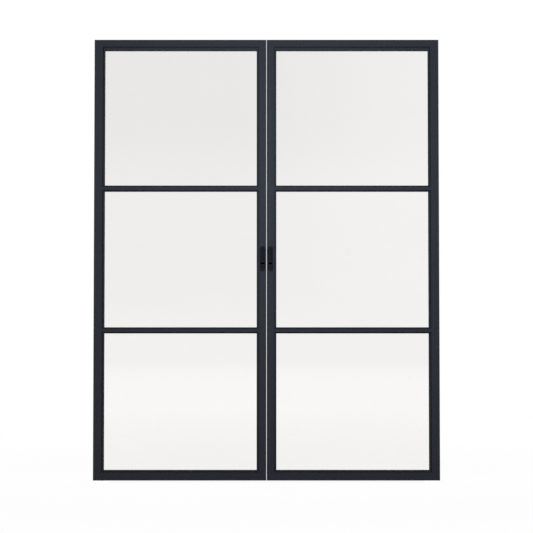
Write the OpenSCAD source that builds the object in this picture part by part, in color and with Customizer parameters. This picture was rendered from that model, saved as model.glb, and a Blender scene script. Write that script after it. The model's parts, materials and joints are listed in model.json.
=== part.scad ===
// Double pocket door: two glazed aluminium leaves that slide apart into their pockets.
// Millimetres, +Z up, the front towards -Y. The origin is on the floor, midway between the closed leaves.
// A leaf is drawn as the right one, with x = 0 at its meeting edge and z = 0 at its bottom edge.
// The left leaf is its mirror image, but for the height of its hook.

/* [Leaves] */
// Width of one leaf
leaf_w = 827; // [700:1:1000]
// Height of one leaf
leaf_h = 2115; // [1900:5:2400]
// Thickness of a leaf
leaf_t = 40; // [38:1:46]
// Gap between the two closed leaves
meeting_gap = 2; // [2:0.5:6]
// Gap between the floor and the leaves
floor_gap = 6; // [5:0.5:10]

/* [Frame] */
// Face width of the outer stile
outer_face = 39.5; // [32:0.5:48]
// Face width of the meeting stile
meeting_face = 35.5; // [35:0.5:48]
// Face height of the top rail
top_face = 33; // [32:0.5:48]
// Face height of the bottom rail
bottom_face = 38.5; // [36:0.5:60]
// Face height of a glazing bar
bar_face = 16; // [14:0.2:24]
// Wall thickness of the extrusions
wall = 2; // [1.6:0.1:2.4]
// Wall thickness on the meeting edge, which carries the lock
edge_wall = 3; // [2.6:0.1:3.6]
// Radius along the edges of the extrusions
edge_r = 0.6; // [0.3:0.1:1]
// Thickness of the plastic caps on the ends of the rails
cap_t = 2; // [1.5:0.5:4]
// Room between an end cap's plug and the nearest joint screw
plug_room = 1.25; // [0.5:0.25:3]
// Length of a block that joins two members
block_l = 40; // [30:1:60]
// Clearance round a block or plug in its hollow
block_fit = 0.2; // [0.1:0.05:0.4]

/* [Glazing] */
// Thickness of the glass
glass_t = 8.8; // [6:0.4:10]
// Width of the lip that holds the glass on the stiles and the bottom rail
lip = 10; // [7:0.5:12]
// Width of the lip under the top rail
top_lip = 17.5; // [8:0.5:18]
// Width of the lip on a glazing bar
bar_lip = 6; // [5:0.5:8]
// Thickness of the lip
lip_t = 5.6; // [4:0.1:7]
// Width of the shadow gap between a frame member and its lip
shadow_w = 3.5; // [2:0.5:4]
// Thickness of the web behind the shadow gap, which carries the lip
lip_web = 1.4; // [1:0.1:2]
// Thickness of a gasket beside the glass
gasket_t = 3; // [2:0.2:4]
// Width of a gasket behind the lip
gasket_w = 2.8; // [2:0.2:3]
// How far a gasket shows past the lip
gasket_show = 0.8; // [0.4:0.1:1.5]
// Gap between the edge of the glass and the frame
glass_gap = 2.5; // [2:0.1:3]
// Length of a setting block under the glass
setting_l = 80; // [50:5:120]
// Wall thickness of a bead
bead_wall = 1.2; // [1:0.1:1.6]
// How far a bead lies behind the rear face of the frame
bead_set = 2; // [0:0.5:4]
// How far the end of a bead stands back from its mitre
mitre_gap = 0.1; // [0.05:0.05:0.3]

/* [Hangers] */
// Opening of the T-slot along the top
slot_w = 12; // [10:0.5:16]
// Thickness of the T-slot's flanges
slot_flange = 3; // [2.5:0.5:4]
// Width of the T-slot inside
slot_in_w = 24; // [22:0.5:28]
// Height of the T-slot inside
slot_in_h = 9; // [8:0.5:11]
// Thickness of the web under the T-slot
slot_web = 3; // [2.5:0.5:4]
// Length of a hanger plate
hanger_l = 60; // [50:5:90]
// Width of a hanger plate
hanger_w = 22; // [18:0.5:23]
// Thickness of a hanger plate
hanger_t = 6; // [5:0.5:7]
// Radius of the threaded hole for the hanging bolt, M8
hanger_bolt_r = 4; // [3:0.5:5]
// Radius of a grub screw in a hanger plate, M5
grub_r = 2.5; // [2:0.5:3]
// Distance from a grub screw to the hanging bolt
grub_off = 20; // [14:1:22]
// Distance from a leaf's side edge to its hanging bolt
hanger_in = 120; // [90:5:250]

/* [Floor guide] */
// Width of the groove in the bottom rail
groove_w = 12.4; // [10:0.2:14]
// Depth of the groove in the bottom rail
groove_h = 24; // [20:1:26]
// Side clearance of the fin in the groove
guide_clear = 0.5; // [0.3:0.1:0.9]
// Length of the fin
fin_l = 56; // [46:2:80]
// Height of the fin above the leaf's bottom edge
fin_in = 18; // [12:1:19]
// Distance from the fin to the leaf's outer edge
fin_end = 10; // [8:1:20]
// Width of the guide's base across the door
guide_base_w = 34; // [30:1:40]
// Thickness of the guide's base
guide_base_t = 3; // [2.5:0.5:4]
// How far the base reaches past each end of the fin
guide_base_end = 4; // [2:1:6]
// Radius of a screw hole in the base
guide_hole_r = 2.1; // [1.6:0.1:2.5]
// Radius of the countersink at the top of a screw hole
guide_sink_r = 3.9; // [3:0.1:4.2]
// Distance between the screw holes along the fin
guide_hole_x = 44; // [30:1:46]
// Distance between the screw holes across the fin
guide_hole_y = 22.6; // [22:0.2:24]

/* [Pull] */
// Height of the middle of the pulls above the bottom edge
pull_z = 1059; // [900:1:1150]
// Length of a pull
pull_l = 122; // [118:1:150]
// Width of a pull
pull_w = 26; // [25:0.5:28]
// How far a pull stands out from the stile
pull_proud = 2; // [1.5:0.5:3]
// Width of the flange round a pull's body
pull_flange = 2.7; // [2.2:0.1:3.5]
// Clearance round a pull's body in the stile
pull_fit = 0.25; // [0.1:0.05:0.4]
// Width of the finger recess
recess_w = 17; // [15:0.5:18]
// Depth of the finger recess from the front of the pull
recess_d = 9; // [7:0.5:9.5]
// Distance from the top of the finger recess to the top of the pull
recess_in = 9.75; // [9:0.25:14]
// Height of the bridge between the finger recess and the window
bridge_h = 8; // [4:0.5:9]
// Width of the window for the thumb slide
window_w = 18; // [16:0.5:19]
// Distance from the bottom of the window to the bottom of the pull
window_in = 9.7; // [9:0.1:14]
// Length of a thumb slide
slide_l = 25; // [22:0.5:30]
// Thickness of a thumb slide
slide_t = 5; // [4:0.5:6]
// How far a thumb slide lies behind the front of the pull
slide_set = 0.5; // [0.3:0.1:1.5]
// Clearance beside and below a thumb slide in its window
slide_fit = 0.25; // [0.15:0.05:0.4]
// How far a thumb slide moves
slide_travel = 8.5; // [7.5:0.1:9]
// Clearance above a thumb slide at the end of its travel
slide_stop = 0.6; // [0.4:0.1:1]
// Depth of the finger grooves in a thumb slide
grip_d = 0.8; // [0.5:0.1:1.2]
// Radius of a screw that joins the two pulls, M3
pull_screw_r = 1.5; // [1.2:0.1:1.7]
// Distance from a pull screw to the end of the pull
pull_screw_in = 5.8; // [5.4:0.1:6.4]

/* [Lock] */
// Thickness of the lock case
case_t = 14; // [12:0.5:15]
// Thickness of the lock case's sheet
case_sheet = 1.5; // [1:0.1:2]
// Depth of the lock case behind the edge of the stile
case_d = 28; // [27:0.5:30]
// Room between the lock case and a pull for the snib's links
link_room = 2; // [1.8:0.1:2.4]
// Thickness of the snib's links
link_t = 1.4; // [1:0.1:1.4]
// Width of the snib's links
link_w = 7; // [6:0.5:8]
// Width of the snib's bar where it passes through the lock case
snib_w = 4; // [3.5:0.1:4.2]
// Room inside the lock case round the hook, and between the case and the pull screws
case_room = 1.5; // [1:0.1:2]
// Clearance round the snib's bar in the windows of the lock case
snib_fit = 0.5; // [0.3:0.05:0.6]
// Radius of the hook's pivot and of the pin that drives it
pin_r = 1.5; // [1.3:0.1:1.6]
// Radial clearance of the hook on its pivot
pivot_fit = 0.05; // [0.03:0.01:0.1]
// Clearance beside the driving pin in the hook's fork
fork_fit = 0.5; // [0.45:0.05:0.7]
// Thickness of the hook
hook_t = 5; // [4:0.5:6]
// Radius of the hook's hub
hub_r = 7.5; // [7:0.5:8]
// Height of the hook's arm
hook_arm = 8; // [7:0.5:9]
// How far the hook reaches into the other leaf
hook_catch = 10; // [9:0.5:12]
// Width of the hook's beak
beak_w = 7; // [6:0.5:7]
// Drop of the hook's beak below the middle of its arm
beak_drop = 9.5; // [8:0.5:10]
// Height of the right hook above the left one
hook_step = 40; // [39:0.5:44]
// Thickness of the faceplate
plate_t = 1.5; // [1.2:0.1:2]
// Width of the faceplate
plate_w = 24; // [22:0.5:26]
// Room round the hook in the slots of the faceplate
plate_room = 0.75; // [0.5:0.05:1]
// Radius of a faceplate screw, M4
plate_screw_r = 2; // [1.5:0.1:2.2]

/* [Screws] */
// Radius of a joint screw, M5
joint_screw_r = 2.5; // [2:0.1:3]
// Radius of a joint screw's head
joint_head_r = 4.5; // [4:0.1:5]
// Height of a joint screw's head
joint_head_h = 3.5; // [2.5:0.1:4]
// Length of a joint screw in its block
joint_screw_l = 20; // [14:1:26]
// Distance of the joint screws from the middle of a rail
joint_screw_y = 9; // [8:0.5:12]
// Radial clearance of a screw in its hole
screw_fit = 0.1; // [0.05:0.05:0.3]
// Radius and depth of the hex socket in a screw's head, as a share of the screw's radius
socket_share = 0.75; // [0.6:0.05:0.8]

/* [Hidden] */
$fn = 48;
eps = 0.01;
left = -1;
right = 1;

// Depths across the leaf, from its middle plane
half_t = leaf_t / 2;
glass_y = glass_t / 2;
lip_y = glass_y + gasket_t;
lip_front = lip_y + lip_t;
bead_back = half_t - bead_set;

// Panes of equal height between the rails and the two bars
pane_count = 3;
bar_count = pane_count - 1;
bar_all = bar_face + 2 * bar_lip;
frame_all = bottom_face + lip + top_face + top_lip;
sight_h = (leaf_h - frame_all - bar_count * bar_all) / pane_count;

// Heights of the members
stile_z0 = bottom_face;
stile_z1 = leaf_h - top_face;
outer_x0 = leaf_w - outer_face;
function bar_z(k) = bottom_face + lip + sight_h + bar_lip + k * (bar_all + sight_h);

// Opening of a pane between the members, as [x0, x1, z0, z1]
function opening(i) = [
    meeting_face,
    outer_x0,
    i == 0 ? stile_z0 : bar_z(i - 1) + bar_face,
    i == bar_count ? stile_z1 : bar_z(i)
];

// Widths of the lips round a pane, as [left, right, bottom, top]
function lips(i) = [
    lip,
    lip,
    i == 0 ? lip : bar_lip,
    i == bar_count ? top_lip : bar_lip
];

// Edges of an opening, in the order of its lips
LEFT_EDGE = 0;
RIGHT_EDGE = 1;
BOTTOM_EDGE = 2;
TOP_EDGE = 3;

// Corners of an opening that is drawn in by its own amount on each edge
function corners(o, n) = [
    [o[0] + n[0], o[2] + n[2]],
    [o[1] - n[1], o[2] + n[2]],
    [o[1] - n[1], o[3] - n[3]],
    [o[0] + n[0], o[3] - n[3]]
];

// T-slot in the top rail, from the top down
slot_top = leaf_h - slot_flange;
slot_floor = slot_top - slot_in_h;
chamber_top = slot_floor - slot_web;

// Pull and thumb slide
pull_x = meeting_face / 2;
pull_front = half_t + pull_proud;
pull_back = case_t / 2 + link_room;
body_w = pull_w - 2 * pull_flange;
body_l = pull_l - 2 * pull_flange;
pull_screw_z = pull_l / 2 - pull_screw_in;
window_z0 = window_in - pull_l / 2;
window_z1 = window_z0 + slide_fit + slide_l + slide_travel + slide_stop;
recess_z0 = window_z1 + bridge_h;
recess_z1 = pull_l / 2 - recess_in;
slide_z0 = pull_z + window_z0 + slide_fit;
slide_z1 = slide_z0 + slide_l;
slide_z = (slide_z0 + slide_z1) / 2;
slide_front = pull_front - slide_set;
slide_back = slide_front - slide_t;
link_y = case_t / 2 + (link_room - link_t) / 2;

// The driving pin turns the hook through a right angle, so its path lies half its travel from the pivot
pivot_off = slide_travel / 2;
pivot_x = pull_x - pivot_off;
hook_reach = pivot_x + meeting_gap + hook_catch;
case_z0 = pull_z - pull_screw_z + pull_screw_r + screw_fit + case_room;
low_pivot_z = case_z0 + case_sheet + case_room + max(hub_r, beak_drop);
high_pivot_z = low_pivot_z + hook_step;
function pivot_z(side) = side == left ? low_pivot_z : high_pivot_z;
function bar_pin_z(side) = pivot_z(side) - pivot_off;

// Slots in the faceplate clear the corner of the beak as the hook swings
swing_r = sqrt(pow(hook_reach, 2) + pow(beak_drop, 2));
slot_up = sqrt(pow(swing_r, 2) - pow(pivot_x, 2)) + plate_room;
slot_down = hook_arm / 2 + plate_room;
slot_y = hook_t / 2 + plate_room;
case_z1 = high_pivot_z + hook_reach + case_sheet + case_room;
case_in = case_t / 2 - case_sheet;
pivot_end = 0.2;
plate_end = 12;
plate_z0 = case_z0 - plate_end;
plate_z1 = case_z1 + plate_end;
plate_screw_zs = [plate_z0 + plate_end / 2, plate_z1 - plate_end / 2];

// Colours of the finishes
anthracite = "#363a42";
pull_black = "#23252a";
clear_glass = [0.88, 0.93, 0.93, 0.35];
gasket_black = "#1b1c1e";
zinc_grey = "#9da2a6";
steel_black = "#1c1c1e";
plastic_black = "#26272a";
clear_plastic = [0.92, 0.95, 0.95, 0.35];

// Places a leaf's pieces on the floor side of the meeting gap that is theirs
module in_leaf(side) {
    mirror([side == left ? 1 : 0, 0, 0])
        translate([meeting_gap / 2, 0, floor_gap])
            children();
}

// Box between two values on each axis
module box(x, y, z) {
    translate([x[0], y[0], z[0]])
        cube([x[1] - x[0], y[1] - y[0], z[1] - z[0]]);
}

// Rectangle between two values on each axis
module rect(a, b) {
    translate([a[0], b[0]])
        square([a[1] - a[0], b[1] - b[0]]);
}

// Rectangle with rounded corners between two values on each axis
module round_rect(a, b, r) {
    rect([a[0] + r, a[1] - r], b);
    rect(a, [b[0] + r, b[1] - r]);
    for (p = [a[0] + r, a[1] - r])
        for (q = [b[0] + r, b[1] - r])
            translate([p, q])
                circle(r);
}

// Shape with round ends, upright, about the origin
module obround(w, l) {
    rect([-w / 2, w / 2], [(w - l) / 2, (l - w) / 2]);
    for (s = [-1, 1])
        translate([0, s * (l - w) / 2])
            circle(w / 2);
}

// Runs a section drawn across the leaf along x
module run_x(x0, x1) {
    translate([x0, 0, 0])
        rotate([90, 0, 90])
            linear_extrude(x1 - x0)
                children();
}

// Runs a shape drawn in the plane of the leaf through its depth
module run_y(y0, y1) {
    translate([0, y1, 0])
        rotate([90, 0, 0])
            linear_extrude(y1 - y0)
                children();
}

// Runs a section drawn on the floor plan upwards
module run_z(z0, z1) {
    translate([0, 0, z0])
        linear_extrude(z1 - z0)
            children();
}

// Draws its children on the front and again, mirrored, on the rear
module front_or_rear(rear) {
    mirror([0, rear ? 1 : 0, 0])
        children();
}

// One mitred strip along an edge of a pane's opening, rooted in the member that carries it.
// Each mitre is drawn back along the strip by the given gap.
module strip(o, n, edge, root, gap) {
    a = corners(o, [0, 0, 0, 0]);
    b = corners(o, n);
    out = root * [[-1, 0], [1, 0], [0, -1], [0, 1]][edge];
    back = gap * [[0, -1], [0, 1], [1, 0], [-1, 0]][edge];
    first = [3, 1, 0, 2][edge];
    last = [0, 2, 1, 3][edge];
    polygon([
        a[first] + back + out,
        a[last] - back + out,
        a[last] - back,
        b[last] - back,
        b[first] + back,
        a[first] + back
    ]);
}

// Shadow gap round one pane, cut from the front down to the webs
module shadow_gap(i) {
    run_y(-lip_front - 1, -lip_y - lip_web)
        difference() {
            polygon(corners(opening(i), -wall * [1, 1, 1, 1]));
            polygon(corners(opening(i), shadow_w * [1, 1, 1, 1]));
        }
}

// Fixed front lip along one edge of one pane, set off from its member by the shadow gap
module front_lip(i, edge) {
    difference() {
        run_y(-lip_front, -lip_y)
            strip(opening(i), lips(i), edge, wall / 2, 0);
        shadow_gap(i);
    }
}

// Section of the meeting stile on the floor plan
module meeting_section() {
    difference() {
        round_rect([0, meeting_face], [-half_t, half_t], edge_r);
        rect([edge_wall, meeting_face - wall], [wall - half_t, half_t - wall]);
    }
}

// Cut in both faces of the meeting stile for the bodies of the pulls
module pull_cuts() {
    for (s = [-1, 1])
        run_y(min(s * (half_t + 1), s * (half_t - wall - 1)), max(s * (half_t + 1), s * (half_t - wall - 1)))
            translate([pull_x, pull_z])
                obround(body_w + 2 * pull_fit, body_l + 2 * pull_fit);
}

// Seat of the faceplate in the meeting edge, with a window for the lock case and two screw holes
module faceplate_cuts() {
    box([-1, plate_t], [-plate_w / 2 - pull_fit, plate_w / 2 + pull_fit],
        [plate_z0 - pull_fit, plate_z1 + pull_fit]);
    box([-1, edge_wall + 1], [-case_t / 2 - block_fit, case_t / 2 + block_fit],
        [case_z0 - block_fit, case_z1 + block_fit]);
    for (z = plate_screw_zs)
        translate([-1, 0, z])
            rotate([0, 90, 0])
                cylinder(r = plate_screw_r + screw_fit, h = edge_wall + 2);
}

// Screw holes in a stile's inner wall where the bars meet it
module bar_screw_holes(x0, x1) {
    for (k = [0 : bar_count - 1])
        translate([x0, 0, bar_z(k) + bar_face / 2])
            rotate([0, 90, 0])
                cylinder(r = joint_screw_r + screw_fit, h = x1 - x0);
}

module meeting_stile(side) {
    color(anthracite)
        in_leaf(side)
            difference() {
                union() {
                    run_z(stile_z0, stile_z1)
                        meeting_section();
                    for (i = [0 : bar_count])
                        front_lip(i, LEFT_EDGE);
                }
                pull_cuts();
                faceplate_cuts();
                bar_screw_holes(meeting_face - wall - 1, meeting_face + 1);
            }
}

module outer_stile(side) {
    color(anthracite)
        in_leaf(side)
            difference() {
                union() {
                    run_z(stile_z0, stile_z1)
                        difference() {
                            round_rect([outer_x0, leaf_w], [-half_t, half_t], edge_r);
                            rect([outer_x0 + wall, leaf_w - wall], [wall - half_t, half_t - wall]);
                        }
                    for (i = [0 : bar_count])
                        front_lip(i, RIGHT_EDGE);
                }
                bar_screw_holes(outer_x0 - 1, outer_x0 + wall + 1);
            }
}

// Middles of the two stiles' hollows
hollow_xs = [(edge_wall + meeting_face - wall) / 2, leaf_w - outer_face / 2];

// Screw holes through a rail's wall into the blocks in the stiles
module rail_screw_holes(z0, z1) {
    for (x = hollow_xs)
        for (s = [-1, 1])
            translate([x, s * joint_screw_y, z0])
                cylinder(r = joint_screw_r + screw_fit, h = z1 - z0);
}

// Section of the top rail: a T-slot over a closed chamber
module top_section() {
    difference() {
        round_rect([-half_t, half_t], [stile_z1, leaf_h], edge_r);
        rect([-slot_w / 2, slot_w / 2], [slot_top - eps, leaf_h + 1]);
        rect([-slot_in_w / 2, slot_in_w / 2], [slot_floor, slot_top]);
        rect([wall - half_t, half_t - wall], [stile_z1 + wall, chamber_top]);
    }
}

module top_rail(side) {
    color(anthracite)
        in_leaf(side)
            difference() {
                union() {
                    run_x(cap_t, leaf_w - cap_t)
                        top_section();
                    front_lip(bar_count, TOP_EDGE);
                }
                rail_screw_holes(stile_z1 - 1, stile_z1 + wall + 1);
            }
}

// Outline of the bottom rail with the guide's groove open below
module bottom_outline() {
    difference() {
        round_rect([-half_t, half_t], [0, bottom_face], edge_r);
        rect([-groove_w / 2, groove_w / 2], [-1, groove_h]);
    }
}

// Hollow of the bottom rail, which passes over the groove
module bottom_hollow() {
    difference() {
        rect([wall - half_t, half_t - wall], [wall, bottom_face - wall]);
        rect([-groove_w / 2 - wall, groove_w / 2 + wall], [0, groove_h + wall]);
    }
}

module bottom_rail(side) {
    color(anthracite)
        in_leaf(side)
            difference() {
                union() {
                    run_x(cap_t, leaf_w - cap_t)
                        difference() {
                            bottom_outline();
                            bottom_hollow();
                        }
                    front_lip(0, BOTTOM_EDGE);
                }
                rail_screw_holes(stile_z0 - wall - 1, stile_z0 + 1);
            }
}

// Glazing bar between the stiles, with a lip above and below
module bar(side, k) {
    color(anthracite)
        in_leaf(side) {
            run_x(meeting_face, outer_x0)
                difference() {
                    round_rect([-half_t, half_t], [bar_z(k), bar_z(k) + bar_face], edge_r);
                    rect([wall - half_t, half_t - wall], [bar_z(k) + wall, bar_z(k) + bar_face - wall]);
                }
            front_lip(k, TOP_EDGE);
            front_lip(k + 1, BOTTOM_EDGE);
        }
}

// Block in the end of a stile, drilled for the two screws from the rail
module corner_block(x, z0, z1) {
    difference() {
        box(x, [wall - half_t + block_fit, half_t - wall - block_fit], [z0, z1]);
        for (s = [-1, 1])
            translate([(x[0] + x[1]) / 2, s * joint_screw_y, z0 - 1])
                cylinder(r = joint_screw_r + screw_fit, h = z1 - z0 + 2);
    }
}

// Block in the end of a bar, drilled for the screw from the stile
module bar_block(x0, x1, k) {
    z0 = bar_z(k) + wall + block_fit;
    z1 = bar_z(k) + bar_face - wall - block_fit;
    difference() {
        box([x0, x1], [wall - half_t + block_fit, half_t - wall - block_fit], [z0, z1]);
        translate([x0 - 1, 0, bar_z(k) + bar_face / 2])
            rotate([0, 90, 0])
                cylinder(r = joint_screw_r + screw_fit, h = x1 - x0 + 2);
    }
}

module joint_blocks(side) {
    meeting_in = [edge_wall + block_fit, meeting_face - wall - block_fit];
    outer_in = [outer_x0 + wall + block_fit, leaf_w - wall - block_fit];
    color(zinc_grey)
        in_leaf(side) {
            for (x = [meeting_in, outer_in]) {
                corner_block(x, stile_z0, stile_z0 + block_l);
                corner_block(x, stile_z1 - block_l, stile_z1);
            }
            for (k = [0 : bar_count - 1]) {
                bar_block(meeting_face, meeting_face + block_l, k);
                bar_block(outer_x0 - block_l, outer_x0, k);
            }
        }
}

// Hex socket in the head of a screw of radius r, sunk along +Z from the top of the head at z = 0
module hex_socket(r) {
    translate([0, 0, -1])
        cylinder(r = socket_share * r, h = 1 + socket_share * r, $fn = 6);
}

// Screw along +Z whose head bears on a wall at z = 0 from below
module joint_screw() {
    difference() {
        translate([0, 0, -joint_head_h])
            cylinder(r = joint_head_r, h = joint_head_h);
        translate([0, 0, -joint_head_h])
            hex_socket(joint_screw_r);
    }
    cylinder(r = joint_screw_r, h = wall + joint_screw_l);
}

module joint_screws(side) {
    color(zinc_grey)
        in_leaf(side) {
            for (x = hollow_xs)
                for (s = [-1, 1]) {
                    translate([x, s * joint_screw_y, stile_z0 - wall])
                        joint_screw();
                    translate([x, s * joint_screw_y, stile_z1 + wall])
                        rotate([180, 0, 0])
                            joint_screw();
                }
            for (k = [0 : bar_count - 1]) {
                translate([meeting_face - wall, 0, bar_z(k) + bar_face / 2])
                    rotate([0, 90, 0])
                        joint_screw();
                translate([outer_x0 + wall, 0, bar_z(k) + bar_face / 2])
                    rotate([0, -90, 0])
                        joint_screw();
            }
        }
}

// Pane of glass, with the same gap to the frame on every edge
module pane(side, i) {
    o = opening(i);
    color(clear_glass)
        in_leaf(side)
            box([o[0] + glass_gap, o[1] - glass_gap], [-glass_y, glass_y],
                [o[2] + glass_gap, o[3] - glass_gap]);
}

// Opening and lips of the hollow inside a pane's beads
function bead_hollow(i) = opening(i) + bead_wall * [1, -1, 1, -1];
function bead_hollow_lips(i) = [for (n = lips(i)) n - 2 * bead_wall];

// Four mitred rear beads of one pane, square tubes whose hollows run out through the mitres
module beads(side, i) {
    color(anthracite)
        in_leaf(side)
            for (e = [LEFT_EDGE : TOP_EDGE])
                difference() {
                    run_y(lip_y, bead_back)
                        strip(opening(i), lips(i), e, 0, mitre_gap);
                    run_y(lip_y + bead_wall, bead_back - bead_wall)
                        strip(bead_hollow(i), bead_hollow_lips(i), e, 0, -1);
                }
}

// Gasket rings on both sides of every pane
module gaskets(side) {
    color(gasket_black)
        in_leaf(side)
            for (i = [0 : bar_count])
                for (y0 = [-lip_y, glass_y])
                    run_y(y0, y0 + gasket_t)
                        difference() {
                            polygon(corners(opening(i), [for (n = lips(i)) n - gasket_w]));
                            polygon(corners(opening(i), [for (n = lips(i)) n + gasket_show]));
                        }
}

// Two blocks under every pane, at a quarter of its width from each end
module setting_blocks(side) {
    color(plastic_black)
        in_leaf(side)
            for (i = [0 : bar_count])
                for (f = [0.25, 0.75]) {
                    o = opening(i);
                    mid = o[0] + f * (o[1] - o[0]);
                    box([mid - setting_l / 2, mid + setting_l / 2], [-glass_y, glass_y],
                        [o[2], o[2] + glass_gap]);
                }
}

// Middles of the two hanger plates
hanger_xs = [hanger_in, leaf_w - hanger_in];

// Hanger plates against the T-slot's flanges, each with a hole for the hanging bolt and two for grub screws
module hanger_plates(side) {
    color(zinc_grey)
        in_leaf(side)
            for (x = hanger_xs)
                difference() {
                    box([x - hanger_l / 2, x + hanger_l / 2], [-hanger_w / 2, hanger_w / 2],
                        [slot_top - hanger_t, slot_top]);
                    translate([x, 0, slot_top - hanger_t - 1])
                        cylinder(r = hanger_bolt_r, h = hanger_t + 2);
                    for (s = [-1, 1])
                        translate([x + s * grub_off, 0, slot_top - hanger_t - 1])
                            cylinder(r = grub_r + screw_fit, h = hanger_t + 2);
                }
}

// Grub screws that press on the web and hold the plates up against the flanges
module hanger_screws(side) {
    color(zinc_grey)
        in_leaf(side)
            for (x = hanger_xs)
                for (s = [-1, 1])
                    translate([x + s * grub_off, 0, slot_floor])
                        difference() {
                            cylinder(r = grub_r, h = slot_in_h - 1);
                            translate([0, 0, slot_in_h - 1 - grub_r])
                                cylinder(r = grub_r / 2, h = grub_r + 1, $fn = 6);
                        }
}

// Depth to which the end caps reach into the rails, short of the joint screws
plug_end = min(hollow_xs[0], leaf_w - hollow_xs[1]) - joint_head_r - plug_room;

// Caps that close the ends of the rails, each with a plug in the rail's hollow
module end_caps(side) {
    top_plug = [stile_z1 + wall + block_fit, chamber_top - block_fit];
    bottom_plug = [groove_h + wall + block_fit, bottom_face - wall - block_fit];
    plug_y = [wall - half_t + block_fit, half_t - wall - block_fit];
    color(plastic_black)
        in_leaf(side) {
            run_x(0, cap_t)
                round_rect([-half_t, half_t], [stile_z1, leaf_h], edge_r);
            box([cap_t - eps, plug_end], plug_y, top_plug);
            run_x(0, cap_t)
                bottom_outline();
            box([cap_t - eps, plug_end], plug_y, bottom_plug);
            run_x(leaf_w - cap_t, leaf_w)
                round_rect([-half_t, half_t], [stile_z1, leaf_h], edge_r);
            box([leaf_w - plug_end, leaf_w - cap_t + eps], plug_y, top_plug);
            run_x(leaf_w - cap_t, leaf_w)
                bottom_outline();
            box([leaf_w - plug_end, leaf_w - cap_t + eps], plug_y, bottom_plug);
        }
}

// Flush pull with a finger recess, a window for the thumb slide and holes for the two long screws
module pull(side, rear) {
    color(pull_black)
        in_leaf(side)
            front_or_rear(rear)
                translate([pull_x, 0, pull_z])
                    difference() {
                        union() {
                            run_y(-pull_front, -half_t)
                                obround(pull_w, pull_l);
                            run_y(-half_t - eps, -pull_back)
                                obround(body_w, body_l);
                        }
                        run_y(-pull_front - 1, recess_d - pull_front)
                            translate([0, (recess_z0 + recess_z1) / 2])
                                obround(recess_w, recess_z1 - recess_z0);
                        run_y(-pull_front - 1, 1 - pull_back)
                            rect([-window_w / 2, window_w / 2], [window_z0, window_z1]);
                        pull_screw_holes(rear);
                    }
}

// Screw holes of a pull: blind from behind in the front one, through and countersunk in the rear one
module pull_screw_holes(rear) {
    for (s = [-1, 1])
        translate([0, 0, s * pull_screw_z])
            rotate([90, 0, 0]) {
                translate([0, 0, pull_back - 1])
                    cylinder(r = pull_screw_r + screw_fit, h = (rear ? pull_front + 1 : half_t) - pull_back);
                if (rear)
                    translate([0, 0, pull_front - pull_screw_r])
                        cylinder(r1 = pull_screw_r + screw_fit, r2 = 2 * pull_screw_r + screw_fit + eps,
                                 h = pull_screw_r + eps);
            }
}

// Countersunk screws that pass from the rear pull into the front one
module pull_screws(side) {
    color(pull_black)
        in_leaf(side)
            for (s = [-1, 1])
                translate([pull_x, 0, pull_z + s * pull_screw_z])
                    rotate([90, 0, 0])
                        translate([0, 0, -pull_front])
                            difference() {
                                union() {
                                    cylinder(r1 = 2 * pull_screw_r, r2 = pull_screw_r, h = pull_screw_r);
                                    cylinder(r = pull_screw_r, h = pull_front + half_t - 3);
                                }
                                hex_socket(pull_screw_r);
                            }
}

// Thumb slide with finger grooves and a stem that reaches the snib's link
module thumb_slide(side, rear) {
    half_w = window_w / 2 - slide_fit;
    grip_step = (slide_z1 - slide_z0) / 6;
    color(pull_black)
        in_leaf(side)
            front_or_rear(rear)
                difference() {
                    union() {
                        box([pull_x - half_w, pull_x + half_w], [-slide_front, -slide_back],
                            [slide_z0, slide_z1]);
                        box([pull_x - link_w / 2, pull_x + link_w / 2], [-slide_back - eps, -link_y - link_t],
                            [slide_z - link_w / 2, slide_z + link_w / 2]);
                    }
                    for (k = [-1 : 1])
                        translate([pull_x - half_w - 1, -slide_front, slide_z + k * grip_step])
                            rotate([0, 90, 0])
                                cylinder(r = grip_d, h = 2 * half_w + 2);
                }
}

// Snib bar: a pin inside the lock case, squared where it passes out, with a link to each thumb slide
module snib_bar(side) {
    pin_z = bar_pin_z(side);
    pin_y = case_in + pivot_end;
    color(steel_black)
        in_leaf(side) {
            translate([pull_x, pin_y + eps, pin_z])
                rotate([90, 0, 0])
                    cylinder(r = pin_r, h = 2 * (pin_y + eps));
            for (rear = [false, true])
                front_or_rear(rear) {
                    box([pull_x - snib_w / 2, pull_x + snib_w / 2], [-link_y - eps, -pin_y],
                        [pin_z - snib_w / 2, pin_z + snib_w / 2]);
                    box([pull_x - link_w / 2, pull_x + link_w / 2], [-link_y - link_t, -link_y],
                        [min(slide_z, pin_z) - link_w / 2, max(slide_z, pin_z) + link_w / 2]);
                }
        }
}

// Window in the lock case's sides for the travel of the snib bar
module snib_window(side) {
    room = snib_w / 2 + snib_fit;
    box([pull_x - room, pull_x + room], [-case_t, case_t],
        [bar_pin_z(side) - room, bar_pin_z(side) + slide_travel + room]);
}

// Lock case: a folded box open to the faceplate, with a tab at each end and the hook's pivot across it
module lock_case(side) {
    color(steel_black)
        in_leaf(side) {
            difference() {
                box([plate_t, case_d], [-case_t / 2, case_t / 2], [case_z0, case_z1]);
                box([plate_t - 1, case_d - case_sheet], [-case_in, case_in],
                    [case_z0 + case_sheet, case_z1 - case_sheet]);
                snib_window(side);
            }
            for (z = [[plate_z0 + 1, case_z0 + eps], [case_z1 - eps, plate_z1 - 1]])
                difference() {
                    box([edge_wall, edge_wall + 2 * case_sheet], [-case_t / 2, case_t / 2], z);
                    for (h = plate_screw_zs)
                        translate([0, 0, h])
                            rotate([0, 90, 0])
                                cylinder(r = plate_screw_r + screw_fit, h = case_d);
                }
            translate([pivot_x, case_in + pivot_end, pivot_z(side)])
                rotate([90, 0, 0])
                    cylinder(r = pin_r, h = 2 * (case_in + pivot_end));
        }
}

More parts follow.
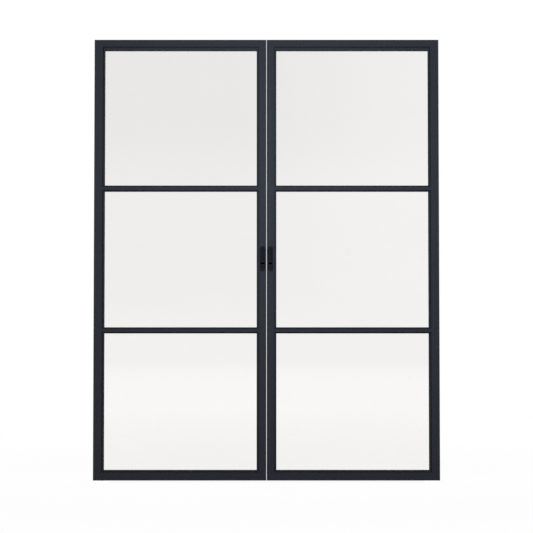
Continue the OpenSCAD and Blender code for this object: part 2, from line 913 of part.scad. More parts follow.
// Hook at rest: its arm upright, its beak towards the meeting edge, its fork round the snib's pin
module hook(side) {
    fork_r = pivot_off - pin_r - 0.35;
    fork_w = pin_r + fork_fit;
    color(zinc_grey)
        in_leaf(side)
            translate([pivot_x, 0, pivot_z(side)])
                difference() {
                    run_y(-hook_t / 2, hook_t / 2)
                        difference() {
                            union() {
                                circle(hub_r);
                                rect([-hook_arm / 2, hook_arm / 2], [0, hook_reach]);
                                rect([-beak_drop, 0], [hook_reach - beak_w, hook_reach]);
                            }
                            rotate(-45)
                                rect([fork_r, 2 * hub_r], [-fork_w, fork_w]);
                        }
                    translate([0, hook_t, 0])
                        rotate([90, 0, 0])
                            cylinder(r = pin_r + pivot_fit, h = 2 * hook_t);
                }
}

// Faceplate let into the meeting edge, with a slot for this leaf's hook and one for the other leaf's
module faceplate(side) {
    color(pull_black)
        in_leaf(side)
            difference() {
                box([0, plate_t], [-plate_w / 2, plate_w / 2], [plate_z0, plate_z1]);
                for (z = [low_pivot_z, high_pivot_z])
                    box([-1, plate_t + 1], [-slot_y, slot_y], [z - slot_down, z + slot_up]);
                for (z = plate_screw_zs)
                    translate([0, 0, z])
                        rotate([0, 90, 0]) {
                            translate([0, 0, -1])
                                cylinder(r = plate_screw_r + screw_fit, h = plate_t + 2);
                            translate([0, 0, -eps])
                                cylinder(r1 = plate_screw_r + plate_t + screw_fit,
                                         r2 = plate_screw_r + screw_fit, h = plate_t);
                        }
            }
}

// Countersunk screws through the faceplate and the stile into the lock case's tabs
module faceplate_screws(side) {
    color(pull_black)
        in_leaf(side)
            for (z = plate_screw_zs)
                translate([0, 0, z])
                    rotate([0, 90, 0])
                        difference() {
                            union() {
                                cylinder(r1 = plate_screw_r + plate_t, r2 = plate_screw_r, h = plate_t);
                                cylinder(r = plate_screw_r, h = edge_wall + 2 * case_sheet + 2);
                            }
                            hex_socket(plate_screw_r);
                        }
}

// Floor guide: a base screwed to the floor and a fin with round ends in the bottom rail's groove
module floor_guide(side) {
    fin_t = groove_w - 2 * guide_clear;
    mid = meeting_gap / 2 + leaf_w - fin_end - fin_l / 2;
    base_l = fin_l + 2 * guide_base_end;
    color(clear_plastic)
        mirror([side == left ? 1 : 0, 0, 0])
            translate([mid, 0, 0]) {
                run_z(0, floor_gap + fin_in)
                    rotate(90)
                        obround(fin_t, fin_l);
                difference() {
                    run_z(0, guide_base_t)
                        round_rect([-base_l / 2, base_l / 2], [-guide_base_w / 2, guide_base_w / 2], 3);
                    for (x = [-guide_hole_x / 2, guide_hole_x / 2])
                        for (y = [-guide_hole_y / 2, guide_hole_y / 2])
                            translate([x, y, 0])
                                guide_hole();
                }
            }
}

// Countersunk hole through the base of a floor guide
module guide_hole() {
    sink = guide_sink_r - guide_hole_r;
    translate([0, 0, -1])
        cylinder(r = guide_hole_r, h = guide_base_t + 2);
    translate([0, 0, guide_base_t - sink])
        cylinder(r1 = guide_hole_r, r2 = guide_sink_r + eps, h = sink + eps);
}

floor_guide(left);  // left_floor_guide
outer_stile(left);  // left_outer_stile
meeting_stile(left);  // left_meeting_stile
top_rail(left);  // left_top_rail
bottom_rail(left);  // left_bottom_rail
bar(left, 1);  // left_upper_bar
bar(left, 0);  // left_lower_bar
joint_blocks(left);  // left_joint_blocks
joint_screws(left);  // left_joint_screws
pane(left, 2);  // left_upper_pane
pane(left, 1);  // left_middle_pane
pane(left, 0);  // left_lower_pane
beads(left, 2);  // left_upper_beads
beads(left, 1);  // left_middle_beads
beads(left, 0);  // left_lower_beads
gaskets(left);  // left_gaskets
setting_blocks(left);  // left_setting_blocks
hanger_plates(left);  // left_hanger_plates
hanger_screws(left);  // left_hanger_screws
end_caps(left);  // left_end_caps
pull(left, false);  // left_front_pull
pull(left, true);  // left_rear_pull
thumb_slide(left, false);  // left_front_slide
thumb_slide(left, true);  // left_rear_slide
snib_bar(left);  // left_snib_bar
lock_case(left);  // left_lock_case
hook(left);  // left_hook
faceplate(left);  // left_faceplate
pull_screws(left);  // left_pull_screws
faceplate_screws(left);  // left_faceplate_screws
floor_guide(right);  // right_floor_guide
outer_stile(right);  // right_outer_stile
meeting_stile(right);  // right_meeting_stile
top_rail(right);  // right_top_rail
bottom_rail(right);  // right_bottom_rail
bar(right, 1);  // right_upper_bar
bar(right, 0);  // right_lower_bar
joint_blocks(right);  // right_joint_blocks
joint_screws(right);  // right_joint_screws
pane(right, 2);  // right_upper_pane
pane(right, 1);  // right_middle_pane
pane(right, 0);  // right_lower_pane
beads(right, 2);  // right_upper_beads
beads(right, 1);  // right_middle_beads
beads(right, 0);  // right_lower_beads
gaskets(right);  // right_gaskets
setting_blocks(right);  // right_setting_blocks
hanger_plates(right);  // right_hanger_plates
hanger_screws(right);  // right_hanger_screws
end_caps(right);  // right_end_caps
pull(right, false);  // right_front_pull
pull(right, true);  // right_rear_pull
thumb_slide(right, false);  // right_front_slide
thumb_slide(right, true);  // right_rear_slide
snib_bar(right);  // right_snib_bar
lock_case(right);  // right_lock_case
hook(right);  // right_hook
faceplate(right);  // right_faceplate
pull_screws(right);  // right_pull_screws
faceplate_screws(right);  // right_faceplate_screws
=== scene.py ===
# %% [markdown]
# A double pocket door: two glazed leaves in slim dark aluminium frames, closed and facing the viewer.
# This script gives those pieces their finishes, models the pulls and thumb slides more finely, rounds the
# edges of the hooks and end caps, and sets up the camera and the studio. We start by loading the door.

# %% Load the door
import json
import math
import bpy
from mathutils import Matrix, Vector


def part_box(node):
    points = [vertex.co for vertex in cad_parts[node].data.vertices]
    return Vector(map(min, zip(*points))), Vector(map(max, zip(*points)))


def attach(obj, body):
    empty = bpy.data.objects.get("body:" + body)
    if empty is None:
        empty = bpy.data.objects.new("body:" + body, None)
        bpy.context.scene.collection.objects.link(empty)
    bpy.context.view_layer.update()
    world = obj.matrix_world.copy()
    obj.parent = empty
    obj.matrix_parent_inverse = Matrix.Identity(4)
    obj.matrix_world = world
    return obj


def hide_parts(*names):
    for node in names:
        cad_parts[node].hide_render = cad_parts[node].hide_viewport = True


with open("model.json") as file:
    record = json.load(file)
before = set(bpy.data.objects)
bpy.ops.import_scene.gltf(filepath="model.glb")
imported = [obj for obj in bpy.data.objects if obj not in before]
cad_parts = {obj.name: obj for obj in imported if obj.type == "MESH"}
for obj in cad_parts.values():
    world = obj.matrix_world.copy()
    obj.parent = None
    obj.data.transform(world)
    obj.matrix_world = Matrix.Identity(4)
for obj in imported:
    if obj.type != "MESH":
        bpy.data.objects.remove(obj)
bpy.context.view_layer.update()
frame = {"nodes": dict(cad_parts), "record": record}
nodes = frame["nodes"]
scene = bpy.context.scene
scene.view_settings.view_transform = "Standard"

# %% [markdown]
# The camera stands a little over eight metres in front of the door at about hip height and looks very
# slightly up, which is why the leaves are a hair narrower at the top. A long lens keeps the frames almost
# parallel. The picture is square, so the lens follows from how much of the door's plane the picture
# should take in.

# %% Camera
CAMERA_DISTANCE = 8.3
CAMERA_HEIGHT = 0.686
AIM_HEIGHT = 1.0285
VIEW_WIDTH = 2.5585
SENSOR = 36.0

camera_data = bpy.data.cameras.new("camera")
camera_data.sensor_width = SENSOR
camera_data.lens = SENSOR * CAMERA_DISTANCE / VIEW_WIDTH
camera = bpy.data.objects.new("camera", camera_data)
scene.collection.objects.link(camera)
camera.location = (0.0, -CAMERA_DISTANCE, CAMERA_HEIGHT)
aim = Vector((0.0, 0.0, AIM_HEIGHT)) - camera.location
camera.rotation_euler = aim.to_track_quat("-Z", "Y").to_euler()
scene.camera = camera
print("camera lens", round(camera_data.lens, 1), "mm")

# %% [markdown]
# Every finish is made of shader nodes. One small function adds a node with its settings and its inputs,
# where an input is either a constant or another node's output. Another turns a colour as it is written
# for screens into the linear values that the shader works with. Pattern sizes are written in millimetres.

# %% Helpers for the finishes
MM = 0.001
# Places of the colour sockets on a Mix node
COLOUR_A = 6
COLOUR_B = 7
COLOUR_MIX = 2


def linear(hex_colour):
    """The linear colour of an sRGB hex value."""
    parts = [int(hex_colour[i:i + 2], 16) / 255 for i in (1, 3, 5)]
    return [c / 12.92 if c <= 0.04045 else ((c + 0.055) / 1.055) ** 2.4 for c in parts] + [1.0]


def add(tree, kind, inputs=None, **settings):
    """Adds a node. Each input is set to a constant or linked to another node's output."""
    node = tree.nodes.new(kind)
    for name, value in settings.items():
        setattr(node, name, value)
    for socket, value in (inputs or {}).items():
        if isinstance(value, bpy.types.NodeSocket):
            tree.links.new(value, node.inputs[socket])
        else:
            node.inputs[socket].default_value = value
    return node


def new_finish(name):
    """An empty material with its node tree and its output node."""
    finish = bpy.data.materials.new(name)
    finish.use_nodes = True
    finish.node_tree.nodes.clear()
    return finish, finish.node_tree, add(finish.node_tree, "ShaderNodeOutputMaterial")


# %% [markdown]
# The frames are extruded aluminium with a matt, finely textured powder coat in a bluish anthracite. The
# baked powder doesn't flow out flat but stays slightly grainy, so its sheen is soft and breaks up. The tops
# of the grain are painted a little lighter, a painted highlight where the light would catch them. It could
# be a plain dark colour, but then it would look like plastic, so a fine noise lifts the surface and a broad
# one shifts the tone by a few hundredths, as the spray gun's passes do. The grain is drawn about twice as
# coarse as it really is, so that it shows.

# %% Powder coat
POWDER_GRAIN = 1.2 * MM
SPRAY_PASS = 140 * MM

powder_coat, tree, out = new_finish("powder_coated_aluminium")
place = add(tree, "ShaderNodeTexCoord").outputs["Object"]
grain = add(tree, "ShaderNodeTexNoise", {"Vector": place, "Scale": 1 / POWDER_GRAIN, "Detail": 3.0})
spray = add(tree, "ShaderNodeTexNoise", {"Vector": place, "Scale": 1 / SPRAY_PASS, "Detail": 2.0})
tone = add(tree, "ShaderNodeMix", {0: spray.outputs["Fac"], COLOUR_A: linear("#272b32"),
                                   COLOUR_B: linear("#2c3038")}, data_type="RGBA")
# Where the grain stands highest its colour is lighter: a painted highlight on the tops of the grain.
grain_top_highlight = add(tree, "ShaderNodeMapRange", {"Value": grain.outputs["Fac"], "From Min": 0.5, "From Max": 0.75})
tone_and_painted_highlight = add(tree, "ShaderNodeMix", {0: grain_top_highlight.outputs["Result"], COLOUR_A: tone.outputs[COLOUR_MIX],
                                    COLOUR_B: linear("#373c45")}, data_type="RGBA")
sheen = add(tree, "ShaderNodeMapRange", {"Value": grain.outputs["Fac"], "To Min": 0.50, "To Max": 0.62})
relief = add(tree, "ShaderNodeBump", {"Height": grain.outputs["Fac"], "Strength": 0.3,
                                      "Distance": 0.15 * MM})
coat = add(tree, "ShaderNodeBsdfPrincipled", {
    "Base Color": tone_and_painted_highlight.outputs[COLOUR_MIX], "Roughness": sheen.outputs["Result"],
    "Specular IOR Level": 0.12, "Normal": relief.outputs["Normal"]})
tree.links.new(coat.outputs["BSDF"], out.inputs["Surface"])
print("made", powder_coat.name)

# %% [markdown]
# The panes are laminated clear glass: two sheets with a film between them, which takes about a fifth of
# the light and leaves a slightly warm grey. A pane is a clear refracting solid, so it is a Principled
# shader with full transmission. Shadow rays pass it as a plain tint, or the panes would throw black
# shadows. A very weak noise in the tint stands for the film's cloudiness.

# %% Laminated glass
CLOUD = 260 * MM

laminated_glass, tree, out = new_finish("laminated_clear_glass")
place = add(tree, "ShaderNodeTexCoord").outputs["Object"]
cloud = add(tree, "ShaderNodeTexNoise", {"Vector": place, "Scale": 1 / CLOUD, "Detail": 2.0})
film = add(tree, "ShaderNodeMix", {0: cloud.outputs["Fac"], COLOUR_A: linear("#efeeec"),
                                   COLOUR_B: linear("#f1f0ee")}, data_type="RGBA")
pane = add(tree, "ShaderNodeBsdfPrincipled", {
    "Base Color": film.outputs[COLOUR_MIX], "Roughness": 0.0, "IOR": 1.52,
    "Transmission Weight": 1.0})
clear = add(tree, "ShaderNodeBsdfTransparent", {"Color": linear("#efeeec")})
path = add(tree, "ShaderNodeLightPath")
either = add(tree, "ShaderNodeMixShader", {0: path.outputs["Is Shadow Ray"], 1: pane.outputs["BSDF"],
                                           2: clear.outputs["BSDF"]})
tree.links.new(either.outputs["Shader"], out.inputs["Surface"])
print("made", laminated_glass.name)

# %% [markdown]
# The pulls, thumb slides and faceplates are zinc die castings with a satin black coat. It is darker and a
# little glossier than the frames, and its grain is finer.

# %% Black coat on die castings
CAST_GRAIN = 0.9 * MM

black_coat, tree, out = new_finish("satin_black_die_cast_zinc")
place = add(tree, "ShaderNodeTexCoord").outputs["Object"]
grain = add(tree, "ShaderNodeTexNoise", {"Vector": place, "Scale": 1 / CAST_GRAIN, "Detail": 3.0})
tone = add(tree, "ShaderNodeMix", {0: grain.outputs["Fac"], COLOUR_A: linear("#0f1319"),
                                   COLOUR_B: linear("#131820")}, data_type="RGBA")
sheen = add(tree, "ShaderNodeMapRange", {"Value": grain.outputs["Fac"], "To Min": 0.40, "To Max": 0.50})
relief = add(tree, "ShaderNodeBump", {"Height": grain.outputs["Fac"], "Strength": 0.08,
                                      "Distance": 0.08 * MM})
coat = add(tree, "ShaderNodeBsdfPrincipled", {
    "Base Color": tone.outputs[COLOUR_MIX], "Roughness": sheen.outputs["Result"],
    "Specular IOR Level": 0.12, "Normal": relief.outputs["Normal"]})
tree.links.new(coat.outputs["BSDF"], out.inputs["Surface"])
print("made", black_coat.name)

# %% [markdown]
# The glazing gaskets are extruded EPDM rubber. It is nearly black, quite matt, and slightly chalky where
# the extrusion drags, which a soft noise gives.

# %% EPDM rubber
CHALK = 3.0 * MM

rubber, tree, out = new_finish("extruded_epdm_rubber")
place = add(tree, "ShaderNodeTexCoord").outputs["Object"]
chalk = add(tree, "ShaderNodeTexNoise", {"Vector": place, "Scale": 1 / CHALK, "Detail": 4.0})
tone = add(tree, "ShaderNodeMix", {0: chalk.outputs["Fac"], COLOUR_A: linear("#131314"),
                                   COLOUR_B: linear("#1f1f21")}, data_type="RGBA")
relief = add(tree, "ShaderNodeBump", {"Height": chalk.outputs["Fac"], "Strength": 0.1,
                                      "Distance": 0.1 * MM})
skin = add(tree, "ShaderNodeBsdfPrincipled", {
    "Base Color": tone.outputs[COLOUR_MIX], "Roughness": 0.75, "Specular IOR Level": 0.3,
    "Normal": relief.outputs["Normal"]})
tree.links.new(skin.outputs["BSDF"], out.inputs["Surface"])
print("made", rubber.name)

# %% [markdown]
# Hanger plates, screws and the hooks are steel with a bright zinc plating. Plating on rolled steel keeps
# the direction of the rolling as faint streaks, and its passivation tints it slightly blue and yellow.
# The streaks come from a noise that is stretched along the leaf's height.

# %% Zinc-plated steel
STREAK = 0.8 * MM
STREAK_LENGTH = 25 * MM
BLOOM = 9 * MM

zinc_steel, tree, out = new_finish("zinc_plated_rolled_steel")
place = add(tree, "ShaderNodeTexCoord").outputs["Object"]
stretch = add(tree, "ShaderNodeMapping", {"Vector": place, "Scale": (1.0, 1.0, STREAK / STREAK_LENGTH)})
streak = add(tree, "ShaderNodeTexNoise", {"Vector": stretch.outputs["Vector"], "Scale": 1 / STREAK,
                                          "Detail": 3.0})
bloom = add(tree, "ShaderNodeTexNoise", {"Vector": place, "Scale": 1 / BLOOM, "Detail": 2.0})
tint = add(tree, "ShaderNodeMix", {0: bloom.outputs["Fac"], COLOUR_A: linear("#aeb4bb"),
                                   COLOUR_B: linear("#bdbcae")}, data_type="RGBA")
sheen = add(tree, "ShaderNodeMapRange", {"Value": streak.outputs["Fac"], "To Min": 0.28, "To Max": 0.46})
relief = add(tree, "ShaderNodeBump", {"Height": streak.outputs["Fac"], "Strength": 0.05,
                                      "Distance": 0.05 * MM})
plating = add(tree, "ShaderNodeBsdfPrincipled", {
    "Base Color": tint.outputs[COLOUR_MIX], "Metallic": 1.0, "Roughness": sheen.outputs["Result"],
    "Normal": relief.outputs["Normal"]})
tree.links.new(plating.outputs["BSDF"], out.inputs["Surface"])
print("made", zinc_steel.name)

# %% [markdown]
# The lock cases and the snib's bars behind the pulls are blackened. Blackening is an oxide skin in a hot
# salt bath. It keeps a dull metal look, with faint brown clouds where the bath ran off, so it is a dark
# rough metal with a broad noise in its tint. The tint is drawn darker than real blackening, nearly black,
# which is painted shade so that the slit above a thumb slide stays dark.

# %% Blackened steel
RUN_OFF = 7 * MM

blackened_steel, tree, out = new_finish("blackened_steel_with_painted_shade")
place = add(tree, "ShaderNodeTexCoord").outputs["Object"]
run_off = add(tree, "ShaderNodeTexNoise", {"Vector": place, "Scale": 1 / RUN_OFF, "Detail": 4.0})
# The near-black tint is partly the oxide's own colour and partly painted shade for the slit.
tint = add(tree, "ShaderNodeMix", {0: run_off.outputs["Fac"], COLOUR_A: linear("#040405"),
                                   COLOUR_B: linear("#090807")}, data_type="RGBA")
sheen = add(tree, "ShaderNodeMapRange", {"Value": run_off.outputs["Fac"], "To Min": 0.5, "To Max": 0.65})
oxide_and_painted_shade = add(tree, "ShaderNodeBsdfPrincipled", {
    "Base Color": tint.outputs[COLOUR_MIX], "Metallic": 1.0, "Roughness": sheen.outputs["Result"]})
tree.links.new(oxide_and_painted_shade.outputs["BSDF"], out.inputs["Surface"])
print("made", blackened_steel.name)

# %% [markdown]
# The blocks inside the corners are cut from plain extruded aluminium. The die leaves fine lines along the
# bar, so the noise is stretched here too.

# %% Mill-finish aluminium
DIE_LINE = 0.6 * MM
DIE_LINE_LENGTH = 60 * MM

mill_aluminium, tree, out = new_finish("mill_finish_aluminium")
place = add(tree, "ShaderNodeTexCoord").outputs["Object"]
stretch = add(tree, "ShaderNodeMapping", {"Vector": place, "Scale": (1.0, 1.0, DIE_LINE / DIE_LINE_LENGTH)})
line = add(tree, "ShaderNodeTexNoise", {"Vector": stretch.outputs["Vector"], "Scale": 1 / DIE_LINE,
                                        "Detail": 2.0})
tint = add(tree, "ShaderNodeMix", {0: line.outputs["Fac"], COLOUR_A: linear("#c2c4c6"),
                                   COLOUR_B: linear("#d0d2d4")}, data_type="RGBA")
sheen = add(tree, "ShaderNodeMapRange", {"Value": line.outputs["Fac"], "To Min": 0.35, "To Max": 0.5})
bare = add(tree, "ShaderNodeBsdfPrincipled", {
    "Base Color": tint.outputs[COLOUR_MIX], "Metallic": 1.0, "Roughness": sheen.outputs["Result"]})
tree.links.new(bare.outputs["BSDF"], out.inputs["Surface"])
print("made", mill_aluminium.name)

# %% [markdown]
# End caps and setting blocks are moulded from black nylon. The mould is spark-eroded, which gives the
# plastic a fine even grain and a soft sheen. Cells of a Voronoi pattern come close to that grain.

# %% Moulded nylon
SPARK_GRAIN = 1.0 * MM

black_nylon, tree, out = new_finish("moulded_black_nylon")
place = add(tree, "ShaderNodeTexCoord").outputs["Object"]
grain = add(tree, "ShaderNodeTexVoronoi", {"Vector": place, "Scale": 1 / SPARK_GRAIN})
tone = add(tree, "ShaderNodeMix", {0: grain.outputs["Distance"], COLOUR_A: linear("#1c1f25"),
                                   COLOUR_B: linear("#262a31")}, data_type="RGBA")
relief = add(tree, "ShaderNodeBump", {"Height": grain.outputs["Distance"], "Strength": 0.12,
                                      "Distance": 0.08 * MM})
plastic = add(tree, "ShaderNodeBsdfPrincipled", {
    "Base Color": tone.outputs[COLOUR_MIX], "Roughness": 0.55, "Specular IOR Level": 0.3, "IOR": 1.53,
    "Normal": relief.outputs["Normal"]})
tree.links.new(plastic.outputs["BSDF"], out.inputs["Surface"])
print("made", black_nylon.name)

# %% [markdown]
# The floor guides are moulded from clear acrylic, so they hardly show in the gap below the leaves. It
# refracts a little less than glass, and the leaf's groove leaves a fine haze of rubbing marks along it,
# which a stretched noise puts into its roughness. Shadow rays pass it as they pass the glass.

# %% Clear acrylic
RUB = 0.7 * MM
RUB_LENGTH = 18 * MM

clear_acrylic, tree, out = new_finish("moulded_clear_acrylic")
place = add(tree, "ShaderNodeTexCoord").outputs["Object"]
stretch = add(tree, "ShaderNodeMapping", {"Vector": place, "Scale": (RUB / RUB_LENGTH, 1.0, 1.0)})
rub = add(tree, "ShaderNodeTexNoise", {"Vector": stretch.outputs["Vector"], "Scale": 1 / RUB,
                                       "Detail": 2.0})
haze = add(tree, "ShaderNodeMapRange", {"Value": rub.outputs["Fac"], "To Min": 0.02, "To Max": 0.12})
solid = add(tree, "ShaderNodeBsdfPrincipled", {
    "Base Color": linear("#f4f6f6"), "Roughness": haze.outputs["Result"], "IOR": 1.49,
    "Transmission Weight": 1.0})
clear = add(tree, "ShaderNodeBsdfTransparent", {"Color": linear("#f4f6f6")})
path = add(tree, "ShaderNodeLightPath")
either = add(tree, "ShaderNodeMixShader", {0: path.outputs["Is Shadow Ray"], 1: solid.outputs["BSDF"],
                                           2: clear.outputs["BSDF"]})
tree.links.new(either.outputs["Shader"], out.inputs["Surface"])
print("made", clear_acrylic.name)

# %% [markdown]
# The record names a finish for every piece of the solid model, so the finishes are handed out by that
# name.

# %% Hand out the finishes
finish_of = {
    "powder_coat": powder_coat,
    "clear_glass": laminated_glass,
    "pull_coat": black_coat,
    "gasket_rubber": rubber,
    "zinc_steel": zinc_steel,
    "blackened_steel": blackened_steel,
    "bare_aluminium": mill_aluminium,
    "black_plastic": black_nylon,
    "clear_plastic": clear_acrylic,
}
slot_of = {part["node"]: part["material_slot"] for part in frame["record"]["subparts"]}
for name, piece in nodes.items():
    piece.data.materials.clear()
    piece.data.materials.append(finish_of[slot_of[name]])
print("finished", len(nodes), "pieces with", len(finish_of), "finishes")

# %% [markdown]
# The pulls and thumb slides are modelled by hand with operators. A few small helpers do what a hand would
# do: pick one object, pick faces, edges or points by where they are, cut one object with another, and
# copy.

# %% Helpers for modelling
ROUND_SIDES = 64
SCREW_SIDES = 32
HAIR = 0.02 * MM
SHARP_ANGLE = math.radians(30)
SMOOTH_ANGLE = math.radians(35)
FACING = 0.99


def only(piece):
    """Makes a piece the only selected object, and the active one."""
    bpy.ops.object.select_all(action="DESELECT")
    piece.select_set(True)
    bpy.context.view_layer.objects.active = piece


def start_edit(piece, mode):
    """Opens a piece in edit mode with nothing selected, to select points, edges or faces."""
    only(piece)
    bpy.ops.object.mode_set(mode="EDIT")
    bpy.ops.mesh.select_mode(type=mode)
    bpy.ops.mesh.select_all(action="DESELECT")


def pick_points(piece, wanted):
    """Selects the points whose place is wanted."""
    start_edit(piece, "VERT")
    bpy.ops.object.mode_set(mode="OBJECT")
    for point in piece.data.vertices:
        point.select = wanted(point.co)
    bpy.ops.object.mode_set(mode="EDIT")


def pick_faces(piece, wanted):
    """Selects the faces whose centre and normal are wanted."""
    start_edit(piece, "FACE")
    bpy.ops.object.mode_set(mode="OBJECT")
    for face in piece.data.polygons:
        face.select = wanted(face.center, face.normal)
    bpy.ops.object.mode_set(mode="EDIT")


def pick_sharp_edges(piece, wanted):
    """Selects the sharp edges that have both ends in a wanted place."""
    start_edit(piece, "EDGE")
    bpy.ops.mesh.edges_select_sharp(sharpness=SHARP_ANGLE)
    bpy.ops.object.mode_set(mode="OBJECT")
    points = piece.data.vertices
    for edge in piece.data.edges:
        edge.select = edge.select and all(wanted(points[i].co) for i in edge.vertices)
    bpy.ops.object.mode_set(mode="EDIT")


def done():
    """Leaves edit mode."""
    bpy.ops.object.mode_set(mode="OBJECT")


def obround(name, middle, width, length, y0, y1):
    """A bar along Y with flat sides and round ends: a cylinder whose two halves are moved apart."""
    bpy.ops.object.select_all(action="DESELECT")
    bpy.ops.mesh.primitive_cylinder_add(
        vertices=ROUND_SIDES, radius=width / 2, depth=y1 - y0, location=(middle.x, (y0 + y1) / 2, middle.z),
        rotation=(math.pi / 2, math.pi / ROUND_SIDES, 0.0))
    piece = bpy.context.object
    piece.name = name
    bpy.ops.object.transform_apply(location=True, rotation=True, scale=True)
    for way in (1, -1):
        pick_points(piece, lambda co: way * (co.z - middle.z) > 0)
        bpy.ops.transform.translate(value=(0.0, 0.0, way * (length - width) / 2))
        done()
    return piece


def block(name, low, high):
    """A box between two corners."""
    bpy.ops.object.select_all(action="DESELECT")
    bpy.ops.mesh.primitive_cube_add(size=1.0, location=(low + high) / 2, scale=high - low)
    piece = bpy.context.object
    piece.name = name
    bpy.ops.object.transform_apply(location=True, rotation=True, scale=True)
    return piece


def countersunk(name, head, head_round, shank_round, sink, length):
    """A countersunk screw along -Y: a cone, wide at the head's place, with a shank drawn out of it."""
    bpy.ops.object.select_all(action="DESELECT")
    bpy.ops.mesh.primitive_cone_add(
        vertices=SCREW_SIDES, radius1=head_round, radius2=shank_round, depth=sink,
        location=head - Vector((0.0, sink / 2, 0.0)), rotation=(math.pi / 2, 0.0, 0.0))
    piece = bpy.context.object
    piece.name = name
    bpy.ops.object.transform_apply(location=True, rotation=True, scale=True)
    pick_faces(piece, lambda centre, normal: normal.y < -FACING)
    bpy.ops.mesh.extrude_region_move(TRANSFORM_OT_translate={"value": (0.0, sink - length, 0.0)})
    done()
    return piece


def cut(piece, tool):
    """Cuts a tool's shape out of a piece and throws the tool away."""
    only(piece)
    change = piece.modifiers.new("cut", "BOOLEAN")
    change.operation = "DIFFERENCE"
    change.solver = "EXACT"
    change.object = tool
    bpy.ops.object.modifier_apply(modifier=change.name)
    bpy.data.objects.remove(tool)


def smooth(piece):
    """Shades a piece smooth between its sharp edges."""
    only(piece)
    bpy.ops.object.shade_smooth_by_angle(angle=SMOOTH_ANGLE)


def copy_of(piece, name):
    """A copy with a mesh of its own."""
    twin = piece.copy()
    twin.data = piece.data.copy()
    twin.name = name
    scene.collection.objects.link(twin)
    return twin


def shift(piece, offset):
    """Moves a piece within its mesh."""
    pick_points(piece, lambda co: True)
    bpy.ops.transform.translate(value=offset)
    done()


def turn_to_rear(piece, middle):
    """Turns a piece half a turn about the upright axis through the leaf's middle plane, to face the rear."""
    pick_points(piece, lambda co: True)
    bpy.ops.transform.rotate(value=math.pi, orient_axis="Z", center_override=(middle.x, 0.0, middle.z))
    bpy.ops.mesh.normals_make_consistent(inside=False)
    done()


# %% [markdown]
# A flush pull is one casting: an obround plate that lies on the stile, a body that drops into the stile,
# a dished recess for the fingertips above and a window for the thumb slide below. It starts as a cylinder
# whose halves are moved apart. The body is an inset and an extrusion of its back, the plate's rim is
# bevelled, and the recess and the window are cut with shaped tools, because a cut follows the tool's
# round floor exactly.

# %% Front pull
FLANGE = 2.7 * MM
RIM_ROUND = 1.2 * MM
RECESS_WIDTH = 17 * MM
RECESS_LENGTH = 60.2 * MM
RECESS_DEPTH = 9 * MM
RECESS_RISE = 21.15 * MM
RECESS_DISH = 4 * MM
WINDOW_WIDTH = 18 * MM
WINDOW_LOW = -51.3 * MM
WINDOW_HIGH = -16.95 * MM
WINDOW_CORNER = 1.0 * MM
LIP_ROUND = 0.6 * MM
LEAF_FACE = -20 * MM

pull_low, pull_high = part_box("right_front_pull")
pull_middle = (pull_low + pull_high) / 2
pull_front = pull_low.y
pull = obround("right_front_pull_casting", pull_middle, pull_high.x - pull_low.x, pull_high.z - pull_low.z,
               pull_front, LEAF_FACE)
pick_faces(pull, lambda centre, normal: normal.y > FACING)
bpy.ops.mesh.inset(thickness=FLANGE, depth=0.0)
bpy.ops.mesh.extrude_region_move(TRANSFORM_OT_translate={"value": (0.0, pull_high.y - LEAF_FACE, 0.0)})
done()
pick_sharp_edges(pull, lambda co: abs(co.y - pull_front) < HAIR)
bpy.ops.mesh.bevel(offset=RIM_ROUND, segments=4, affect="EDGES")
done()

recess_middle = pull_middle + Vector((0.0, 0.0, RECESS_RISE))
recess_tool = obround("recess_tool", recess_middle, RECESS_WIDTH, RECESS_LENGTH, pull_front - MM,
                      pull_front + RECESS_DEPTH)
pick_sharp_edges(recess_tool, lambda co: co.y > pull_front)
bpy.ops.mesh.bevel(offset=RECESS_DISH, segments=8, affect="EDGES")
done()
cut(pull, recess_tool)

window_tool = block("window_tool",
                    pull_middle + Vector((-WINDOW_WIDTH / 2, pull_front - MM - pull_middle.y, WINDOW_LOW)),
                    pull_middle + Vector((WINDOW_WIDTH / 2, pull_high.y + MM - pull_middle.y, WINDOW_HIGH)))
start_edit(window_tool, "EDGE")
done()
for edge in window_tool.data.edges:
    a, b = (window_tool.data.vertices[i].co for i in edge.vertices)
    edge.select = abs(a.y - b.y) > HAIR
bpy.ops.object.mode_set(mode="EDIT")
bpy.ops.mesh.bevel(offset=WINDOW_CORNER, segments=4, affect="EDGES")
done()
cut(pull, window_tool)

inner_x = WINDOW_WIDTH / 2 + HAIR
inner_z = -WINDOW_LOW + HAIR
pick_sharp_edges(pull, lambda co: abs(co.y - pull_front) < HAIR and abs(co.x - pull_middle.x) < inner_x
                 and abs(co.z - pull_middle.z) < inner_z)
bpy.ops.mesh.bevel(offset=LIP_ROUND, segments=3, affect="EDGES")
done()
smooth(pull)
pull.data.materials.clear()
pull.data.materials.append(black_coat)
print("front pull has", len(pull.data.polygons), "faces")

# %% [markdown]
# The rear pull is the same casting turned round, with two countersunk holes for the long screws that draw
# the pair together. The left leaf's pulls are copies moved across the meeting gap.

# %% Other pulls
SCREW_HEIGHT = 55.2 * MM
SCREW_ROUND = 1.5 * MM
SCREW_FIT = 0.1 * MM
SCREW_SINK = 1.5 * MM
BODY_DEPTH = 13 * MM

rear_pull = copy_of(pull, "right_rear_pull_casting")
turn_to_rear(rear_pull, pull_middle)
for way in (1, -1):
    at = Vector((pull_middle.x, -pull_front + SCREW_FIT, pull_middle.z + way * SCREW_HEIGHT))
    cut(rear_pull, countersunk("sink_tool", at, 2 * SCREW_ROUND + 2 * SCREW_FIT, SCREW_ROUND + SCREW_FIT,
                               SCREW_SINK + SCREW_FIT, BODY_DEPTH + MM))

